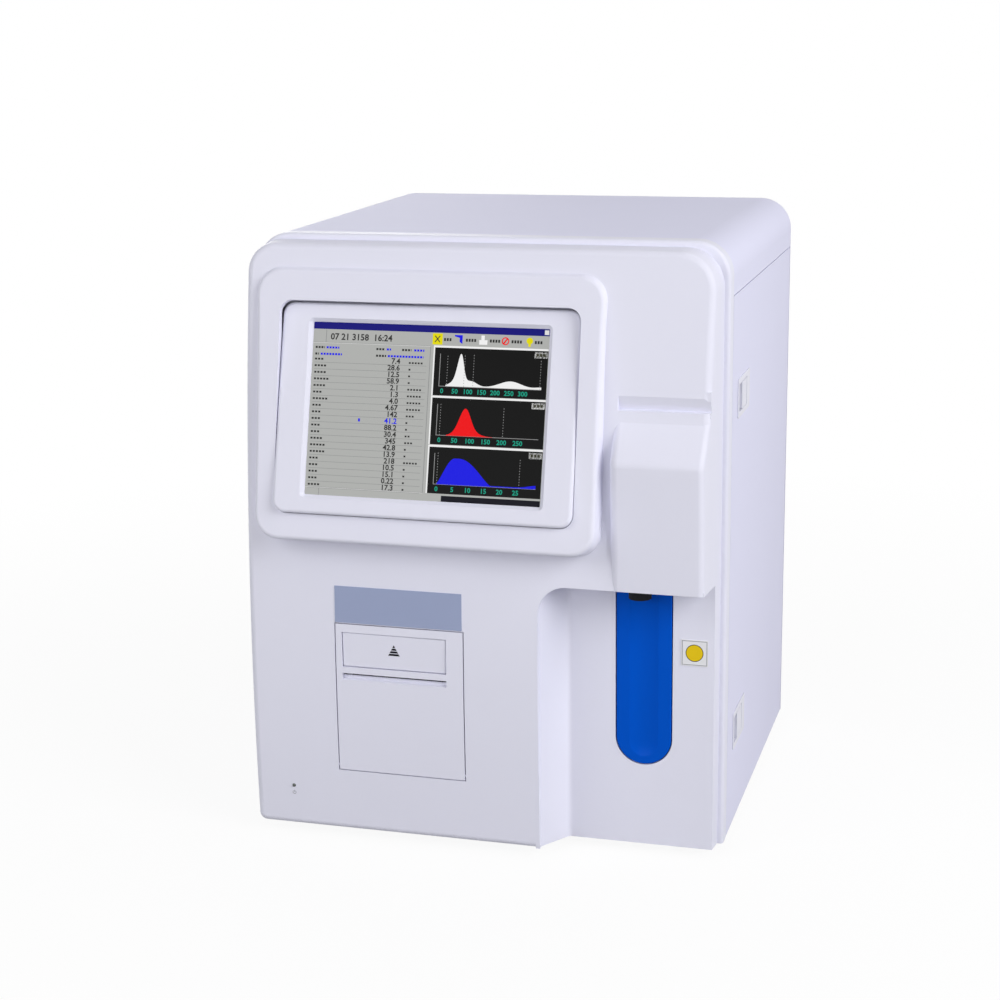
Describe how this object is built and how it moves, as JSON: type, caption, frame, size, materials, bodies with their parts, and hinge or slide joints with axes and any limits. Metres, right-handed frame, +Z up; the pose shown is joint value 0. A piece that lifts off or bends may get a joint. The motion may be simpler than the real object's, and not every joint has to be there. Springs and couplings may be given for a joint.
{
  "type": "hematology analyzer",
  "caption": "Benchtop blood cell analyser with a tilted screen, a strip printer door, an open sample bay with a long start key, and a hinged side door over its fluidics.",
  "frame": {"origin": "centre of the overall box at the feet's underside", "axes": "+Z up, +Y towards the back, +X to the right of a user who faces the front"},
  "size_m": [0.3408, 0.3702, 0.438],
  "materials": {
    "housing": "gloss moulded, pale",
    "cabinet": "painted sheet steel",
    "screen": "display face",
    "label": "plain label film",
    "sticker": "plain label film",
    "lamp": "dark lens",
    "key_blue": "gloss moulded, blue",
    "black": "matte moulded, black",
    "inner_plastic": "moulded, dark grey",
    "rubber": "rubber",
    "steel": "steel",
    "zinc": "zinc plated sheet",
    "alu": "aluminium",
    "paper": "paper, as a light sheet roll",
    "glass": "clear glass",
    "clear": "clear moulded",
    "white_plastic": "moulded, natural white",
    "board": "circuit board",
    "brass": "brass"
  },
  "bodies": {
    "cabinet": {"front_cover": "housing", "screen_ring": "housing", "screen_surround": "housing", "display_panel": "screen", "label_plate": "label", "bay_sticker": "sticker", "power_lamp": "lamp", "printer_housing": "inner_plastic", "print_head": "alu", "paper_roll": "paper", "key_guide": "inner_plastic", "key_spring": "steel", "probe_wiper": "black", "guide_rods": "steel", "probe_bracket": "alu", "lift_belt": "rubber", "lift_motor": "black", "front_chassis": "zinc", "base_pan": "zinc", "rubber_feet": "rubber", "top_cover": "cabinet", "left_panel": "cabinet", "door_hinges": "steel", "partition": "zinc", "syringe_bracket": "alu", "syringe_motor": "black", "syringe_barrels": "glass", "counting_baths": "clear", "bath_bracket": "alu", "solenoid_valves": "white_plastic", "pump_motor": "steel", "pump_head": "white_plastic", "waste_jar": "white_plastic", "power_supply": "zinc", "main_board": "board", "rear_panel": "cabinet", "fan_frame": "black", "fan_guard": "steel", "mains_inlet": "black", "fluid_ports": "steel", "data_sockets": "steel", "earth_post": "brass"},
    "printer_door": {"printer_door": "housing"},
    "release_button": {"release_button": "housing"},
    "platen": {"platen_roller": "rubber"},
    "aspirate_key": {"aspirate_key": "key_blue"},
    "probe": {"probe_carriage": "black", "sample_probe": "steel"},
    "drive_pulley": {"drive_pulley": "alu"},
    "idler_pulley": {"idler_pulley": "alu"},
    "side_door": {"side_door": "cabinet", "latch_cups": "housing"},
    "upper_paddle": {"upper_latch_paddle": "housing"},
    "lower_paddle": {"lower_latch_paddle": "housing"},
    "syringe_slide": {"syringe_yoke": "alu", "syringe_plungers": "steel"},
    "syringe_screw": {"syringe_screw": "steel"},
    "pump_rotor": {"pump_rotor": "inner_plastic"},
    "fan_rotor": {"fan_rotor": "black"},
    "power_rocker": {"power_rocker": "black"}
  },
  "joints": [
    {"name": "side_door_hinge", "type": "hinge", "parent": "cabinet", "child": "side_door", "pos_m": [0.16565, 0.15909, 0.206], "axis": [0, 0, 1], "range_deg": [0, 100]},
    {"name": "upper_latch_pull", "type": "hinge", "parent": "side_door", "child": "upper_paddle", "pos_m": [0.16845, -0.05331, 0.324], "axis": [0, 0, 1], "range_deg": [0, 30], "stiffness_Nm_per_rad": 0.01},
    {"name": "lower_latch_pull", "type": "hinge", "parent": "side_door", "child": "lower_paddle", "pos_m": [0.16845, -0.05331, 0.078], "axis": [0, 0, 1], "range_deg": [0, 30], "stiffness_Nm_per_rad": 0.01},
    {"name": "printer_door_hinge", "type": "hinge", "parent": "cabinet", "child": "printer_door", "pos_m": [-0.05635, -0.16821, 0.0583], "axis": [1, 0, 0], "range_deg": [0, 90]},
    {"name": "release_press", "type": "slide", "parent": "printer_door", "child": "release_button", "axis": [0, 1, 0], "range_m": [0, 0.0015], "stiffness_N_per_m": 300},
    {"name": "platen_spin", "type": "hinge", "parent": "printer_door", "child": "platen", "pos_m": [-0.05635, -0.15891, 0.121], "axis": [1, 0, 0], "continuous": true},
    {"name": "aspirate_press", "type": "slide", "parent": "cabinet", "child": "aspirate_key", "axis": [0, 1, 0], "range_m": [0, 0.003], "stiffness_N_per_m": 400, "deforming": ["key_spring"]},
    {"name": "probe_lift", "type": "slide", "parent": "cabinet", "child": "probe", "axis": [0, 0, -1], "range_m": [0, 0.06]},
    {"name": "drive_pulley_spin", "type": "hinge", "parent": "cabinet", "child": "drive_pulley", "pos_m": [0.14365, -0.11691, 0.318], "axis": [0, 1, 0], "continuous": true},
    {"name": "idler_pulley_spin", "type": "hinge", "parent": "cabinet", "child": "idler_pulley", "pos_m": [0.14365, -0.11691, 0.222], "axis": [0, 1, 0], "continuous": true},
    {"name": "syringe_stroke", "type": "slide", "parent": "cabinet", "child": "syringe_slide", "axis": [0, 0, 1], "range_m": [0, 0.06]},
    {"name": "syringe_screw_spin", "type": "hinge", "parent": "cabinet", "child": "syringe_screw", "pos_m": [0.04765, -0.02591, 0.106], "axis": [0, 0, 1], "continuous": true},
    {"name": "pump_rotor_spin", "type": "hinge", "parent": "cabinet", "child": "pump_rotor", "pos_m": [0.02965, -0.02591, 0.296], "axis": [1, 0, 0], "continuous": true},
    {"name": "fan_spin", "type": "hinge", "parent": "cabinet", "child": "fan_rotor", "pos_m": [-0.09535, 0.15109, 0.306], "axis": [0, 1, 0], "continuous": true},
    {"name": "rocker_tip", "type": "hinge", "parent": "cabinet", "child": "power_rocker", "pos_m": [-0.12035, 0.16409, 0.079], "axis": [1, 0, 0], "range_deg": [0, 16]}
  ],
  "couplings": [
    {"joint": "drive_pulley_spin", "follows": "probe_lift", "rad_per_m": -105.26},
    {"joint": "idler_pulley_spin", "follows": "probe_lift", "rad_per_m": -105.26},
    {"joint": "syringe_screw_spin", "follows": "syringe_stroke", "rad_per_m": 628.32}
  ]
}
